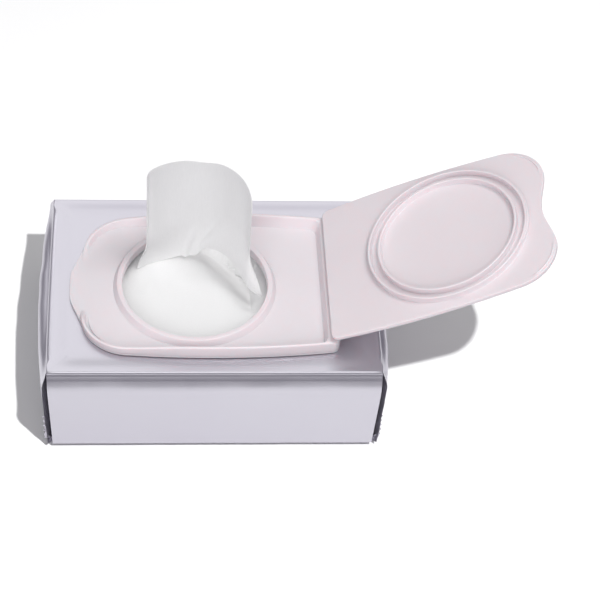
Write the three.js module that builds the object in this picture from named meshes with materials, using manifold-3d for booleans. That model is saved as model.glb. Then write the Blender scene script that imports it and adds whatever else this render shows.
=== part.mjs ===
// A soft pack of wet wipes with a flip-top dispensing lid, standing open with one wipe pulled up.
// Millimetres, +Z up, +X along the pack, origin at the centre of the base.
import * as THREE from "three";
import { mergeVertices } from "three/addons/utils/BufferGeometryUtils.js";
import Module from "manifold-3d";

const wasm = await Module();
wasm.setup();

// Film pack: a flow-wrapped block with crimped fins at both ends.
const PACK_LENGTH = 147.5;
const PACK_DEPTH = 107;
const PACK_HEIGHT = 50.5; // to the crease round the top panel
const TOP_DOME = 1.2; // rise of the top panel from its crease to the flat under the lid
const DOME_RUN = 6; // how far in from the crease the top panel becomes flat
const FILM_WALL = 0.6;
const CREASE_LIP = 1.1; // how far the top crease stands out over the panel below it
const CREASE_FADE = 6; // height over which that overhang dies away
const BASE_TAPER = 1.4; // each end of the front panel draws in by this at the base
const BASE_ROUND = 2.5; // soft edge round the base
const BASE_DRAW = 1; // how far that edge draws in
const END_BULGE = 3.4; // how far each folded end swells at its middle
const GUSSET_DEPTH = 3; // tucked fold at each upright corner
const GUSSET_MOUTH = 2.1; // its width at the surface
const GUSSET_ROOT = 0.4; // how far out from the front panel its root lies
const CREASE_PINCH = 0.15; // spacing of the corner's folds where they meet at the crease
const FIN_REACH = 4.2; // crimped fin, out from the end of the base
const FIN_SPARE = 3; // fin beyond the front and back panels
const FIN_THICK = 0.7;
const FIN_HEIGHT = 1.6; // underside of the fin above the floor
const TOOTH_PITCH = 3.2; // zigzag cut along the fin
const TOOTH_DEPTH = 1.1;

// Folded wipes inside the film.
const STACK_CLEARANCE = 0.5;
const STACK_CORNER_RATIO = 2.5; // corner radius against the depth of the gusset beside it

// Lid frame, a shallow tray round the dispensing opening. Its plan is measured from the
// middle of the opening: U along the pack towards the hinge, V towards the back.
const LID_X = -8.5;
const LID_Y = -4.6;
const SEAT_GAP = 0.3; // glue line between film and lid
const LID_HALF_WIDTH = 42;
const SIDE_RADIUS = 460; // long sides are shallow arcs
const SIDE_CROWN_U = 8; // where the tray is widest
const LID_LEFT = 51;
const LID_RIGHT = 63.7;
const LEFT_CORNER = 22;
const RIGHT_CORNER = 4;
const TRAY_FLOOR = 1;
const RIM_HEIGHT = 6.5;
const RIM_TOP = 1.6; // width of the rim's top
const RIM_FOOT = 5; // width of the rim where it meets the floor
const HINGE_LEDGE = 5.2; // width of the rim's top at the hinge
const HINGE_FOOT = 8.2; // and where it meets the floor
const TAB_REACH = 7; // finger tab beyond the left end
const TAB_FULL = 9; // half width over which the tab keeps its reach
const TAB_SHOULDER = 21; // half width where its shoulders run out
const RIM_GAP = 17; // half width of the gap in the rim behind the tab
const GAP_SLOPE = 6; // rim's sloping run down into that gap

// Collar round the dispensing opening.
const OPENING_RADIUS = 32.9;
const COLLAR_HEIGHT = 4;
const COLLAR_LIP = 2.3;
const COLLAR_FLARE = 1.6; // outer wall's spread down to the floor
const FILM_HOLE_MARGIN = 1.2; // film opening beyond the collar's bore

// Flap, drawn shut and then turned open about the hinge.
const FLAP_THICK = 2.4;
const FLAP_SEAT = 0.3; // air between the shut flap and the rim
const FLAP_INSET = 0.2;
const FLAP_EDGE = 0.5; // soft edge of the inner face
const FLAP_CROWN_EDGE = 1.2; // rounder edge of the outer face
const FLAP_LEFT = 47.3;
const FLAP_CORNER = 20;
const FLAP_HINGE_CORNER = 3;
const FLAP_DIP = 3.8; // hollow in the middle of the free end
const FLAP_DIP_HALF = 22; // half width of that hollow, lobe to lobe
const FLAP_OPEN_DEG = 155;
const RING_HEIGHT = 3;
const RING_WALL = 1.2;
const RING_CLEARANCE = 0.5; // rings to the collar that goes between them
const BEAD_HALF_DEG = 28; // snap bead on the outer ring, at the free end
const BEAD_RISE = 0.6;
const BEAD_TALL = 1.1;
const LIP_INSET = 2.2; // short lips along the two lobes
const LIP_WALL = 0.9;
const LIP_TALL = 0.9;
const LIP_START = 0.45; // where the lip starts round the corner, and how much of it it follows
const LIP_RUN = 0.5;

// Hinge: a thin web on the frame with a round bead that the flap's end turns about.
const HINGE_BEAD = 0.7;
const HINGE_GAP = 0.3;
const HINGE_WEB = 1;
const HINGE_END_MARGIN = 4; // web stops short of the flap's corners

// Pulled wipe: a curved curtain standing up out of the back half of the opening.
const WIPE_THICK = 0.8;
const WIPE_STRAIGHT = 0.4; // share of the height by which the hem's plan has become the top's
const WIPE_FOLDS = 5; // soft upright folds across it
const WIPE_FOLD_DEPTH = 0.5;
// Hem from left to right: across and back in opening radii, then millimetres above the stack.
const WIPE_HEM = [
  [-0.61, 0.33, 0.3],
  [-0.41, 0.62, 0.6],
  [-0.12, 0.67, 2],
  [0.03, 0.63, 3.5],
  [0.17, 0.67, 8],
  [0.39, 0.56, 7],
  [0.56, 0.35, 3.8],
  [0.73, 0.06, 1.2],
  [0.92, -0.1, 0.3],
];
// Top edge from left to right, from the opening's middle, then above the crease.
const WIPE_TOP_EDGE = [
  [-21.7, 8, 63.5],
  [-20, 10.5, 65],
  [-14, 16, 63.3],
  [-4.4, 21, 60.8],
  [3.5, 21.5, 59.4],
  [12.4, 18, 60.3],
  [18.7, 12.5, 60],
  [23.3, 5, 54.6],
];

const GAP_ROOM = 2; // overrun that lets a cut pass clean through a face
const ARC_STEPS = 12;
const SIDE_STEPS = 10;
const END_STEPS = 24;
const FOLD_STEPS = 8;
const TURN_STEPS = 72;
const WALL_LEVELS = [0, 0.016, 0.05, 0.16, 0.32, 0.5, 0.68, 0.82, 0.9, 0.96, 0.986, 1]; // shares
const DOME_LEVELS = [0.2, 0.55, 1];

// Levels worked out from the sizes above.
const SEAT_Z = PACK_HEIGHT + TOP_DOME + SEAT_GAP; // underside of the lid
const STACK_TOP = PACK_HEIGHT - FILM_WALL - STACK_CLEARANCE;
const FLAP_UNDER = RIM_HEIGHT + FLAP_SEAT; // shut flap, above the seat
const HINGE_Z = FLAP_UNDER + FLAP_THICK / 2;
const HINGE_U = LID_RIGHT - HINGE_LEDGE + HINGE_WEB / 2;
const FLAP_RIGHT = HINGE_U - HINGE_BEAD - HINGE_GAP;
const COLLAR_OUTER = OPENING_RADIUS + COLLAR_LIP;

const smooth = (low, high, x) => THREE.MathUtils.smoothstep(x, low, high);

// Closed solids

function toSolid(geometry) {
  const bare = geometry.index ? geometry.toNonIndexed() : geometry.clone();
  bare.deleteAttribute("normal");
  bare.deleteAttribute("uv");
  const merged = mergeVertices(bare, 1e-4);
  return new wasm.Manifold(
    new wasm.Mesh({
      numProp: 3,
      vertProperties: new Float32Array(merged.attributes.position.array),
      triVerts: new Uint32Array(merged.index.array),
    }),
  );
}

function toGeometry(solid) {
  const made = solid.getMesh();
  return new THREE.BufferGeometry()
    .setAttribute("position", new THREE.BufferAttribute(made.vertProperties, 3))
    .setIndex(new THREE.BufferAttribute(made.triVerts, 1))
    .toNonIndexed();
}

// A solid through closed rings of equal count, each anticlockwise seen from above.
function loft(rings) {
  const count = rings[0].length;
  const points = rings.flat();
  const faces = [];
  for (let r = 0; r < rings.length - 1; r++) {
    for (let i = 0; i < count; i++) {
      const a = r * count + i;
      const b = r * count + ((i + 1) % count);
      faces.push(a, b, b + count, a, b + count, a + count);
    }
  }
  const last = (rings.length - 1) * count;
  const flat = (ring) => ring.map((p) => new THREE.Vector2(p.x, p.y));
  for (const [a, b, c] of THREE.ShapeUtils.triangulateShape(flat(rings[0]), [])) {
    faces.push(a, c, b);
  }
  for (const [a, b, c] of THREE.ShapeUtils.triangulateShape(flat(rings.at(-1)), [])) {
    faces.push(last + a, last + b, last + c);
  }
  return new THREE.BufferGeometry().setFromPoints(points).setIndex(faces);
}

const atHeight = (plan, z) => plan.map((p) => new THREE.Vector3(p.x, p.y, z));

function prism(plan, low, high) {
  return toSolid(loft([atHeight(plan, low), atHeight(plan, high)]));
}

// A turned ring about the Z axis from a closed profile of [radius, height], anticlockwise.
function turned(profile) {
  const points = [...profile, profile[0]].map(([r, z]) => new THREE.Vector2(r, z));
  return toSolid(new THREE.LatheGeometry(points, TURN_STEPS).rotateX(Math.PI / 2));
}

function disc(radius, low, high) {
  const made = new THREE.CylinderGeometry(radius, radius, high - low, TURN_STEPS);
  return toSolid(made.rotateX(Math.PI / 2).translate(0, 0, (low + high) / 2));
}

function block(low, high) {
  const size = high.map((h, i) => h - low[i]);
  const middle = high.map((h, i) => (h + low[i]) / 2);
  return toSolid(new THREE.BoxGeometry(...size).translate(...middle));
}

function node(name, geometry, colour, roughness, metalness = 0) {
  const material = new THREE.MeshStandardMaterial({ color: colour, roughness, metalness });
  const made = new THREE.Mesh(geometry, material);
  made.name = name;
  return made;
}

// Film pack

// Half sizes of the pack at a height: the crease stands proud, the base draws in.
function packHalves(z) {
  const below = PACK_HEIGHT - z;
  const dip = CREASE_LIP * (1 - Math.exp(-below / CREASE_FADE));
  const base = BASE_DRAW * Math.max(0, 1 - z / BASE_ROUND) ** 2;
  return {
    half: PACK_LENGTH / 2 - BASE_TAPER * (below / PACK_HEIGHT) - base,
    deep: PACK_DEPTH / 2 - dip - base,
    swell: Math.sin(Math.PI * Math.min(1, z / PACK_HEIGHT)) ** 0.7,
    open: smooth(0, CREASE_FADE, below), // how far the corner folds have opened
  };
}

// One end of the pack in plan, from its front gusset to its back one.
function endPlan(z) {
  const { half, deep, swell, open } = packHalves(z);
  const rootX = half + CREASE_PINCH + GUSSET_ROOT * open;
  const rootY = deep - CREASE_PINCH - GUSSET_DEPTH * open;
  const flapX = half + 2 * CREASE_PINCH + GUSSET_MOUTH * open;
  const points = [new THREE.Vector2(rootX, -rootY)];
  for (let i = 0; i <= FOLD_STEPS; i++) {
    const share = (2 * i) / FOLD_STEPS - 1;
    const bulge = END_BULGE * swell * (1 - share * share);
    points.push(new THREE.Vector2(flapX + bulge, deep * share));
  }
  points.push(new THREE.Vector2(rootX, rootY));
  return points;
}

function packRing(z) {
  const { half, deep } = packHalves(z);
  const front = [];
  for (let i = 0; i <= SIDE_STEPS; i++) {
    front.push(new THREE.Vector2(half * ((2 * i) / SIDE_STEPS - 1), -deep));
  }
  const halfTurn = [...front, ...endPlan(z)];
  const otherHalf = halfTurn.map((p) => new THREE.Vector2(-p.x, -p.y));
  return [...halfTurn, ...otherHalf];
}

// The top panel's rings shrink evenly from the crease to the flat under the lid.
function topRing(inset) {
  const { half, deep } = packHalves(PACK_HEIGHT);
  const along = (half - inset) / half;
  const across = (deep - inset) / deep;
  return packRing(PACK_HEIGHT).map((p) => new THREE.Vector2(p.x * along, p.y * across));
}

// Inside of the film: plain walls that keep clear of the gussets.
function insideRing(z) {
  const { half, deep } = packHalves(z);
  const x = half - FILM_WALL;
  const y = deep - FILM_WALL;
  const cut = GUSSET_DEPTH + FILM_WALL;
  return [
    [-x + cut, -y],
    [x - cut, -y],
    [x, -y + cut],
    [x, y - cut],
    [x - cut, y],
    [-x + cut, y],
    [-x, y - cut],
    [-x, -y + cut],
  ].map(([px, py]) => new THREE.Vector2(px, py));
}

// A crimped fin with a zigzag edge, reaching out along +X.
function finPlan() {
  const { half } = packHalves(0);
  const inner = half - GUSSET_DEPTH;
  const outer = half + FIN_REACH;
  const side = PACK_DEPTH / 2 + FIN_SPARE;
  const teeth = Math.round((2 * side) / TOOTH_PITCH);
  const points = [new THREE.Vector2(inner, side), new THREE.Vector2(inner, -side)];
  for (let i = 0; i <= 2 * teeth; i++) {
    const y = side * (i / teeth - 1);
    points.push(new THREE.Vector2(outer - (i % 2 ? TOOTH_DEPTH : 0), y));
  }
  return points;
}

function filmWrapper() {
  const walls = WALL_LEVELS.map((share) => share * PACK_HEIGHT);
  const rings = walls.map((z) => atHeight(packRing(z), z));
  for (const share of DOME_LEVELS) {
    const rise = TOP_DOME * Math.sin((share * Math.PI) / 2);
    rings.push(atHeight(topRing(DOME_RUN * share), PACK_HEIGHT + rise));
  }
  const ceiling = PACK_HEIGHT + TOP_DOME - FILM_WALL;
  const heights = [FILM_WALL, ...walls.slice(2, -1)];
  const inside = heights.map((z) => atHeight(insideRing(z), z));
  inside.push(atHeight(insideRing(PACK_HEIGHT), PACK_HEIGHT - FILM_WALL));
  const flatInside = topRing(DOME_RUN + FILM_WALL);
  let wrapper = toSolid(loft(rings)).subtract(toSolid(loft(inside)));
  const under = prism(flatInside, PACK_HEIGHT - FILM_WALL - 0.1, ceiling);
  const hole = disc(OPENING_RADIUS + FILM_HOLE_MARGIN, PACK_HEIGHT - GAP_ROOM, SEAT_Z + GAP_ROOM);
  wrapper = wrapper.subtract(under).subtract(hole.translate(LID_X, LID_Y, 0));
  const fin = finPlan();
  const turnedFin = fin.map((p) => new THREE.Vector2(-p.x, -p.y));
  for (const plan of [fin, turnedFin]) {
    wrapper = wrapper.add(prism(plan, FIN_HEIGHT, FIN_HEIGHT + FIN_THICK));
  }
  const cavity = prism(insideRing(0), FILM_WALL, FIN_HEIGHT + FIN_THICK + FILM_WALL);
  return toGeometry(wrapper.subtract(cavity));
}

// Folded wipes

function wipeStack() {
  const low = FILM_WALL + STACK_CLEARANCE;
  const { half, deep } = packHalves(0);
  const x = half - low;
  const y = deep - low;
  const r = STACK_CORNER_RATIO * (GUSSET_DEPTH + FILM_WALL);
  const shape = new THREE.Shape()
    .moveTo(-x + r, -y)
    .lineTo(x - r, -y)
    .absarc(x - r, -y + r, r, -Math.PI / 2, 0)
    .lineTo(x, y - r)
    .absarc(x - r, y - r, r, 0, Math.PI / 2)
    .lineTo(-x + r, y)
    .absarc(-x + r, y - r, r, Math.PI / 2, Math.PI)
    .lineTo(-x, -y + r)
    .absarc(-x + r, -y + r, r, Math.PI, 1.5 * Math.PI);
  const made = new THREE.ExtrudeGeometry(shape, {
    depth: STACK_TOP - low,
    bevelEnabled: false,
    curveSegments: 5,
  });
  return made.translate(0, 0, low);
}

// Lid plan

const sideHalf = (u, inset) =>
  LID_HALF_WIDTH - inset - (u - SIDE_CROWN_U) ** 2 / (2 * SIDE_RADIUS);

// The lid's outline drawn in by an inset. endAt(v) gives the left end's distance from the opening.
function lidPlan({ inset, left, right, leftCorner, rightCorner, endAt }) {
  const upper = [];
  const rightCentre = right - rightCorner;
  const rightHalf = sideHalf(rightCentre, inset) - rightCorner;
  for (let i = 0; i <= ARC_STEPS / 2; i++) {
    const a = (Math.PI / 2) * (i / (ARC_STEPS / 2));
    const u = rightCentre + rightCorner * Math.cos(a);
    upper.push(new THREE.Vector2(u, rightHalf + rightCorner * Math.sin(a)));
  }
  const leftCentre = -left + leftCorner;
  const leftHalf = sideHalf(leftCentre, inset) - leftCorner;
  for (let i = 1; i < SIDE_STEPS; i++) {
    const u = THREE.MathUtils.lerp(rightCentre, leftCentre, i / SIDE_STEPS);
    upper.push(new THREE.Vector2(u, sideHalf(u, inset)));
  }
  for (let i = 0; i <= ARC_STEPS; i++) {
    const a = (Math.PI / 2) * (i / ARC_STEPS);
    const v = leftHalf + leftCorner * Math.cos(a);
    const round = leftCorner * (1 - Math.sin(a));
    upper.push(new THREE.Vector2(-endAt(v) + round, v));
  }
  for (let i = 1; i <= END_STEPS / 2; i++) {
    const v = leftHalf * (1 - i / (END_STEPS / 2));
    upper.push(new THREE.Vector2(-endAt(v), v));
  }
  const lower = upper.slice(0, -1).map((p) => new THREE.Vector2(p.x, -p.y));
  return [...upper, ...lower.reverse()];
}

function trayPlan(inset, right, endAt = () => LID_LEFT - inset) {
  return lidPlan({
    inset,
    left: LID_LEFT - inset,
    right,
    leftCorner: LEFT_CORNER - inset,
    rightCorner: RIGHT_CORNER,
    endAt,
  });
}

// The finger tab swells out of the middle of the left end.
function tabEnd(v) {
  const full = 1 - smooth(TAB_FULL, TAB_SHOULDER, Math.abs(v));
  const crown = 0.1 * (1 - Math.min(1, Math.abs(v) / TAB_FULL) ** 2);
  return LID_LEFT + TAB_REACH * (0.9 * full + crown);
}

function flapPlan(inset) {
  const hollow = (v) => {
    const share = Math.min(1, Math.abs(v) / FLAP_DIP_HALF);
    return FLAP_DIP * (0.5 + 0.5 * Math.cos(Math.PI * share));
  };
  return lidPlan({
    inset: FLAP_INSET + inset,
    left: FLAP_LEFT - inset,
    right: FLAP_RIGHT - inset,
    leftCorner: FLAP_CORNER - inset,
    rightCorner: FLAP_HINGE_CORNER,
    endAt: (v) => FLAP_LEFT - inset - hollow(v),
  });
}

// Lid frame

function lidFrame() {
  const floor = prism(trayPlan(0, LID_RIGHT, tabEnd), 0, TRAY_FLOOR);
  const rim = prism(trayPlan(0, LID_RIGHT), 0, RIM_HEIGHT);
  const slope = (RIM_FOOT - RIM_TOP) / (RIM_HEIGHT - TRAY_FLOOR);
  const hingeSlope = (HINGE_FOOT - HINGE_LEDGE) / (RIM_HEIGHT - TRAY_FLOOR);
  const pocketRing = (z) => {
    const below = RIM_HEIGHT - z;
    const right = LID_RIGHT - HINGE_LEDGE - hingeSlope * below;
    return atHeight(trayPlan(RIM_TOP + slope * below, right), z);
  };
  const pocket = toSolid(loft([pocketRing(TRAY_FLOOR), pocketRing(RIM_HEIGHT + GAP_ROOM)]));
  const gapAt = (z) => {
    const half = RIM_GAP + (GAP_SLOPE * (z - TRAY_FLOOR)) / (RIM_HEIGHT - TRAY_FLOOR);
    const outer = -LID_LEFT - GAP_ROOM;
    const inner = -LID_LEFT + RIM_FOOT + GAP_ROOM;
    const plan = [
      [outer, -half],
      [inner, -half],
      [inner, half],
      [outer, half],
    ];
    return plan.map(([u, v]) => new THREE.Vector3(u, v, z));
  };
  const gap = toSolid(loft([gapAt(TRAY_FLOOR), gapAt(RIM_HEIGHT + GAP_ROOM)]));
  const foot = COLLAR_OUTER + COLLAR_FLARE;
  const collar = turned([
    [OPENING_RADIUS - GAP_ROOM, 0],
    [foot, 0],
    [foot, TRAY_FLOOR],
    [COLLAR_OUTER, COLLAR_HEIGHT],
    [OPENING_RADIUS - GAP_ROOM, COLLAR_HEIGHT],
  ]);
  const bore = disc(OPENING_RADIUS, -GAP_ROOM, COLLAR_HEIGHT + GAP_ROOM);
  const reach = sideHalf(HINGE_U, 0) - RIM_TOP - HINGE_END_MARGIN;
  const web = block(
    [HINGE_U - HINGE_WEB / 2, -reach, RIM_HEIGHT - TRAY_FLOOR],
    [HINGE_U + HINGE_WEB / 2, reach, HINGE_Z],
  );
  const bead = toSolid(
    new THREE.CylinderGeometry(HINGE_BEAD, HINGE_BEAD, 2 * reach, ARC_STEPS).translate(HINGE_U, 0, 0),
  ).translate(0, 0, HINGE_Z);
  const frame = rim.subtract(pocket).subtract(gap).add(floor).add(collar).subtract(bore);
  return toGeometry(frame.add(web).add(bead));
}

// Lid flap, drawn shut above the frame and then measured from the hinge axis

function flapPlate() {
  const top = FLAP_UNDER + FLAP_THICK;
  return toSolid(
    loft([
      atHeight(flapPlan(FLAP_EDGE), FLAP_UNDER),
      atHeight(flapPlan(0), FLAP_UNDER + FLAP_EDGE),
      atHeight(flapPlan(0), top - FLAP_CROWN_EDGE),
      atHeight(flapPlan(FLAP_CROWN_EDGE * 0.4), top - FLAP_CROWN_EDGE * 0.3),
      atHeight(flapPlan(FLAP_CROWN_EDGE), top),
    ]),
  );
}

// A short lip along one lobe, cut from the band between two insets of the flap's outline.
function lobeLip(side) {
  const first = ARC_STEPS / 2 + SIDE_STEPS + Math.round(ARC_STEPS * LIP_START);
  const last = first + Math.round(ARC_STEPS * LIP_RUN);
  const outer = flapPlan(LIP_INSET).slice(first, last);
  const inner = flapPlan(LIP_INSET + LIP_WALL).slice(first, last);
  const band = [...outer, ...inner.reverse()];
  const plan = side > 0 ? band : band.map((p) => new THREE.Vector2(p.x, -p.y)).reverse();
  return prism(plan, FLAP_UNDER - LIP_TALL, FLAP_UNDER + FLAP_EDGE);
}

function ring(inner, outer, low, high) {
  return turned([
    [inner, low],
    [outer, low],
    [outer, high],
    [inner, high],
  ]);
}

// The snap bead is the part of a thin ring inside a wedge that opens towards the free end.
function snapBead(outer, low) {
  const band = ring(outer - RING_WALL / 2, outer + BEAD_RISE, low, low + BEAD_TALL);
  const reach = 2 * outer;
  const spread = reach * Math.tan(THREE.MathUtils.degToRad(BEAD_HALF_DEG));
  const wedge = [
    [0, 0],
    [-reach, spread],
    [-reach, -spread],
  ].map(([u, v]) => new THREE.Vector2(u, v));
  return band.intersect(prism(wedge, low - GAP_ROOM, low + BEAD_TALL + GAP_ROOM));
}

function lidFlap() {
  const tip = FLAP_UNDER - RING_HEIGHT;
  const root = FLAP_UNDER + FLAP_EDGE;
  const plugOuter = OPENING_RADIUS - RING_CLEARANCE;
  const guardInner = COLLAR_OUTER + COLLAR_FLARE / 2;
  const guardOuter = guardInner + RING_WALL;
  const flap = flapPlate()
    .add(ring(plugOuter - RING_WALL, plugOuter, tip, root))
    .add(ring(guardInner, guardOuter, tip, root))
    .add(snapBead(guardOuter, tip + BEAD_TALL))
    .add(lobeLip(1))
    .add(lobeLip(-1));
  return toGeometry(flap.translate(-HINGE_U, 0, -HINGE_Z));
}

// Pulled wipe

const hemCurve = new THREE.CatmullRomCurve3(
  WIPE_HEM.map(([x, y, z]) => {
    return new THREE.Vector3(x * OPENING_RADIUS, y * OPENING_RADIUS, STACK_TOP + z);
  }),
);
const topCurve = new THREE.CatmullRomCurve3(
  WIPE_TOP_EDGE.map(([x, y, z]) => new THREE.Vector3(x, y, PACK_HEIGHT + z)),
);

// Middle surface of the wipe: across runs 0 to 1 from left to right, up runs 0 to 1.
function wipePoint(across, up) {
  const hem = hemCurve.getPointAt(across);
  const top = topCurve.getPointAt(across);
  const rise = smooth(0, WIPE_STRAIGHT, up);
  const fold = WIPE_FOLD_DEPTH * Math.sin(2 * Math.PI * WIPE_FOLDS * across) * (1 - up / 2);
  return new THREE.Vector3(
    LID_X + THREE.MathUtils.lerp(hem.x, top.x, rise),
    LID_Y + THREE.MathUtils.lerp(hem.y, top.y, rise) + fold,
    THREE.MathUtils.lerp(hem.z, top.z, up),
  );
}

function pulledWipe() {
  const columns = 3 * ARC_STEPS;
  const rows = SIDE_STEPS;
  const step = 1 / (2 * columns);
  const front = [];
  const back = [];
  for (let r = 0; r <= rows; r++) {
    for (let c = 0; c <= columns; c++) {
      const across = c / columns;
      const up = r / rows;
      const here = wipePoint(across, up);
      const next = wipePoint(Math.min(1, across + step), up);
      const along = next.sub(wipePoint(Math.max(0, across - step), up));
      const normal = new THREE.Vector3(along.y, -along.x, 0).setLength(WIPE_THICK / 2);
      front.push(here.clone().add(normal));
      back.push(here.clone().sub(normal));
    }
  }
  const wide = columns + 1;
  const shift = front.length;
  const faces = [];
  const quad = (a, b, c, d) => faces.push(a, b, c, a, c, d);
  for (let r = 0; r < rows; r++) {
    for (let c = 0; c < columns; c++) {
      const a = r * wide + c;
      quad(a, a + 1, a + wide + 1, a + wide);
      quad(shift + a, shift + a + wide, shift + a + wide + 1, shift + a + 1);
    }
  }
  const rim = [];
  for (let c = 0; c < columns; c++) rim.push(c);
  for (let r = 0; r < rows; r++) rim.push(r * wide + columns);
  for (let c = columns; c > 0; c--) rim.push(rows * wide + c);
  for (let r = rows; r > 0; r--) rim.push(r * wide);
  rim.forEach((a, i) => {
    const b = rim[(i + 1) % rim.length];
    quad(b, a, shift + a, shift + b);
  });
  return new THREE.BufferGeometry().setFromPoints([...front, ...back]).setIndex(faces);
}

// Assembly

const pack = new THREE.Group();
pack.add(node("film_wrapper", filmWrapper(), 0xcfccd6, 0.38, 0.35));
pack.add(node("wipe_stack", wipeStack(), 0xf2f2f2, 0.95));
pack.add(node("pulled_wipe", pulledWipe(), 0xeeeeef, 0.95));

const lid = new THREE.Group();
lid.position.set(LID_X, LID_Y, SEAT_Z);
lid.add(node("lid_frame", lidFrame(), 0xe8dce2, 0.45));
const hinge = new THREE.Group();
hinge.position.set(HINGE_U, 0, HINGE_Z);
hinge.rotation.y = THREE.MathUtils.degToRad(FLAP_OPEN_DEG);
hinge.add(node("lid_flap", lidFlap(), 0xe8dce2, 0.45));
lid.add(hinge);
pack.add(lid);

export default pack;
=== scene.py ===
# %% [markdown]
# # A pack of wet wipes with its lid open
# The pack is a stack of folded wipes in a pearl film, with a moulded lid stuck on top. The CAD model
# gives every size and place; this script gives each piece its soft edges, folds, finish and light.
# Sizes are written in millimetres, as in the CAD, and turned into metres in one place.

# %% Setting up
import math

import bmesh
import bpy
from mathutils import Matrix, Vector, noise


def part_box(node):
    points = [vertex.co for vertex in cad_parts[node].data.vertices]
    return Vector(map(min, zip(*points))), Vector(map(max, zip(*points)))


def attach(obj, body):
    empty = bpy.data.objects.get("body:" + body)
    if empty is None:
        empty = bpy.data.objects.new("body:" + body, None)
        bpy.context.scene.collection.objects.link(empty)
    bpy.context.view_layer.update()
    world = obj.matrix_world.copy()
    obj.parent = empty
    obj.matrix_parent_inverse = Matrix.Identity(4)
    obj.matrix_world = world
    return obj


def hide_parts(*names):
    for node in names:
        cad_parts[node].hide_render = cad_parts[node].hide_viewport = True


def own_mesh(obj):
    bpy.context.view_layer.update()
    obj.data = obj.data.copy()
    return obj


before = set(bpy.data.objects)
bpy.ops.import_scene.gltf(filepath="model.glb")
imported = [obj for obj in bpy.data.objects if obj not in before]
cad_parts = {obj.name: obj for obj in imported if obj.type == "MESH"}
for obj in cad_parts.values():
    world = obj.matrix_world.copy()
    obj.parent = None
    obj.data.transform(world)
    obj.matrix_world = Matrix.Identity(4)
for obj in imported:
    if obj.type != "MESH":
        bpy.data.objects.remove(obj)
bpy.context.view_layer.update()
MM = 0.001
print("CAD nodes:", sorted(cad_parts))

# %% [markdown]
# ## Small helpers
# Most pieces here are skins that run through closed rings: a circle is added, and its edge is extruded
# again and again, with each new ring moved to its own place. A ring keeps the order of its corners, so
# ring after ring joins into clean four-sided faces.

# %% Helpers for shapes
def smooth(low, high, x):
    """A soft step from 0 at low to 1 at high."""
    t = min(1.0, max(0.0, (x - low) / (high - low)))
    return t * t * (3 - 2 * t)


def bump(x, middle, width):
    """A soft bump that is 1 at its middle and fades to 0 over about its width."""
    return math.exp(-((x - middle) / width) ** 2)


def place_ring(piece, ring):
    """Move the selected corners to the ring's points, which are in millimetres."""
    mesh = bmesh.from_edit_mesh(piece.data)
    order = mesh.verts.layers.int["ring_order"]
    for vert in mesh.verts:
        if vert.select:
            vert.co = Vector(ring[vert[order]]) * MM
    bmesh.update_edit_mesh(piece.data)


def start_ring(name, ring):
    """Add a circle with as many corners as the ring, and open it in edit mode."""
    bpy.ops.object.select_all(action="DESELECT")
    bpy.ops.mesh.primitive_circle_add(vertices=len(ring), radius=0.05)
    piece = bpy.context.object
    piece.name = name
    piece.data.name = name
    bpy.ops.object.mode_set(mode="EDIT")
    mesh = bmesh.from_edit_mesh(piece.data)
    order = mesh.verts.layers.int.new("ring_order")
    for index, vert in enumerate(mesh.verts):
        vert[order] = index
    bmesh.update_edit_mesh(piece.data)
    bpy.ops.mesh.select_all(action="SELECT")
    place_ring(piece, ring)
    return piece


def select_first_ring(piece, count):
    """Select only the corners that the piece started from."""
    bpy.ops.mesh.select_all(action="DESELECT")
    mesh = bmesh.from_edit_mesh(piece.data)
    mesh.verts.ensure_lookup_table()
    for vert in mesh.verts[:count]:
        vert.select = True
    mesh.select_flush(True)
    bmesh.update_edit_mesh(piece.data)


def skin_through(name, rings, ends):
    """A skin through closed rings. ends is "capped", "foot capped", or "joined" (last ring meets first)."""
    piece = start_ring(name, rings[0])
    for ring in rings[1:]:
        bpy.ops.mesh.extrude_edges_move()
        place_ring(piece, ring)
    if ends == "capped":
        bpy.ops.mesh.edge_face_add()
    if ends in ("capped", "foot capped"):
        select_first_ring(piece, len(rings[0]))
        bpy.ops.mesh.edge_face_add()
    bpy.ops.mesh.select_all(action="SELECT")
    if ends == "joined":
        bpy.ops.mesh.remove_doubles(threshold=1e-7)
    bpy.ops.mesh.normals_make_consistent(inside=False)
    bpy.ops.object.mode_set(mode="OBJECT")
    piece.data.attributes.remove(piece.data.attributes["ring_order"])
    return piece


def rounded(profile, steps=4):
    """A profile of (across, up, radius) with each corner turned into a small arc of that radius."""
    points = []
    for index, (across, up, radius) in enumerate(profile):
        corner = Vector((across, up))
        if radius == 0:
            points.append((across, up))
            continue
        back = (Vector(profile[index - 1][:2]) - corner).normalized()
        ahead = (Vector(profile[index + 1][:2]) - corner).normalized()
        half = back.angle(ahead) / 2
        centre = corner + (back + ahead).normalized() * radius / math.sin(half)
        first = corner + back * radius / math.tan(half) - centre
        last = corner + ahead * radius / math.tan(half) - centre
        for step in range(steps + 1):
            arm = first.lerp(last, step / steps).normalized() * radius
            points.append(tuple(centre + arm))
    return points


def soften(piece, degrees):
    """Smooth shading, with creases sharper than this angle kept crisp."""
    bpy.ops.object.select_all(action="DESELECT")
    piece.select_set(True)
    bpy.context.view_layer.objects.active = piece
    bpy.ops.object.shade_smooth_by_angle(angle=math.radians(degrees))


def finish_with(piece, kind, **settings):
    """Add a modifier and apply it, so that the mesh holds its result."""
    bpy.ops.object.select_all(action="DESELECT")
    piece.select_set(True)
    bpy.context.view_layer.objects.active = piece
    modifier = piece.modifiers.new(kind.title(), kind)
    for name, value in settings.items():
        setattr(modifier, name, value)
    bpy.ops.object.modifier_apply(modifier=modifier.name)


def ripple(x, y, size):
    """Soft seeded noise between about -1 and 1, with features of the given size."""
    return noise.noise(Vector((x / size, y / size, 3.7)))


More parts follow.
